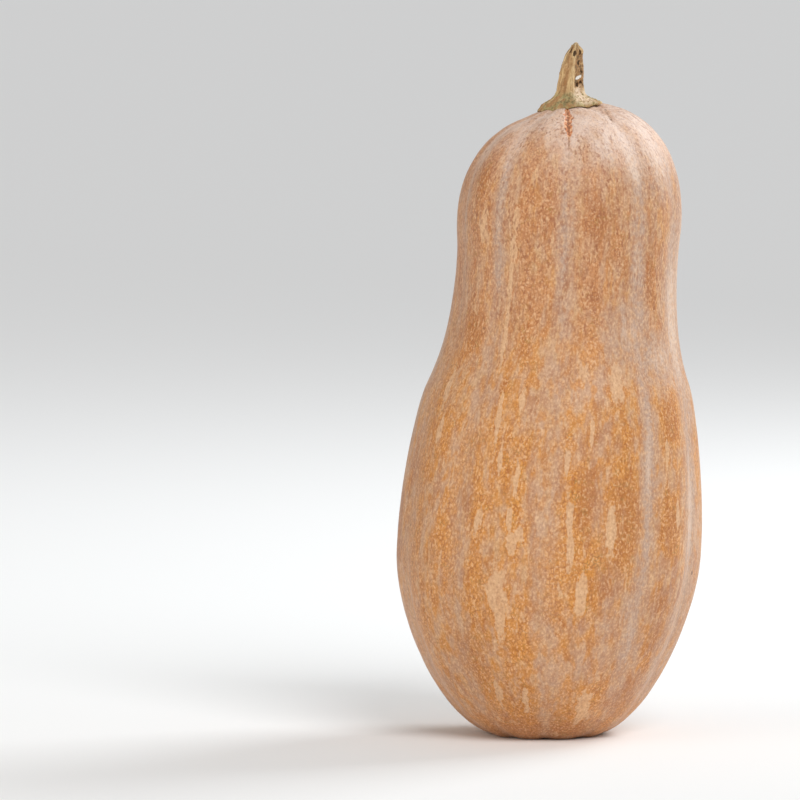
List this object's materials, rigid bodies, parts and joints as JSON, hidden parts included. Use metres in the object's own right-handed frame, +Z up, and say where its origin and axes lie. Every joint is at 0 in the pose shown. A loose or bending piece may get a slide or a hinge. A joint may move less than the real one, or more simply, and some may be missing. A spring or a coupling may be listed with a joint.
{
  "type": "butternut squash",
  "caption": "Whole ribbed squash with a rounded lower body, a broad neck and a dry ridged stem, standing on its blossom end.",
  "frame": {"origin": "on the surface that the squash stands on, under the middle of its overall box", "axes": "+Z up, from the blossom end to the stem; -Y is the front, with the shallow groove that runs down from the stem; +X is the side that the neck leans to"},
  "size_m": [0.1406, 0.1346, 0.3185],
  "materials": {
    "skin": "satin",
    "stem": "matte"
  },
  "bodies": {
    "root": {"fruit": "skin", "stem": "stem"}
  },
  "joints": []
}
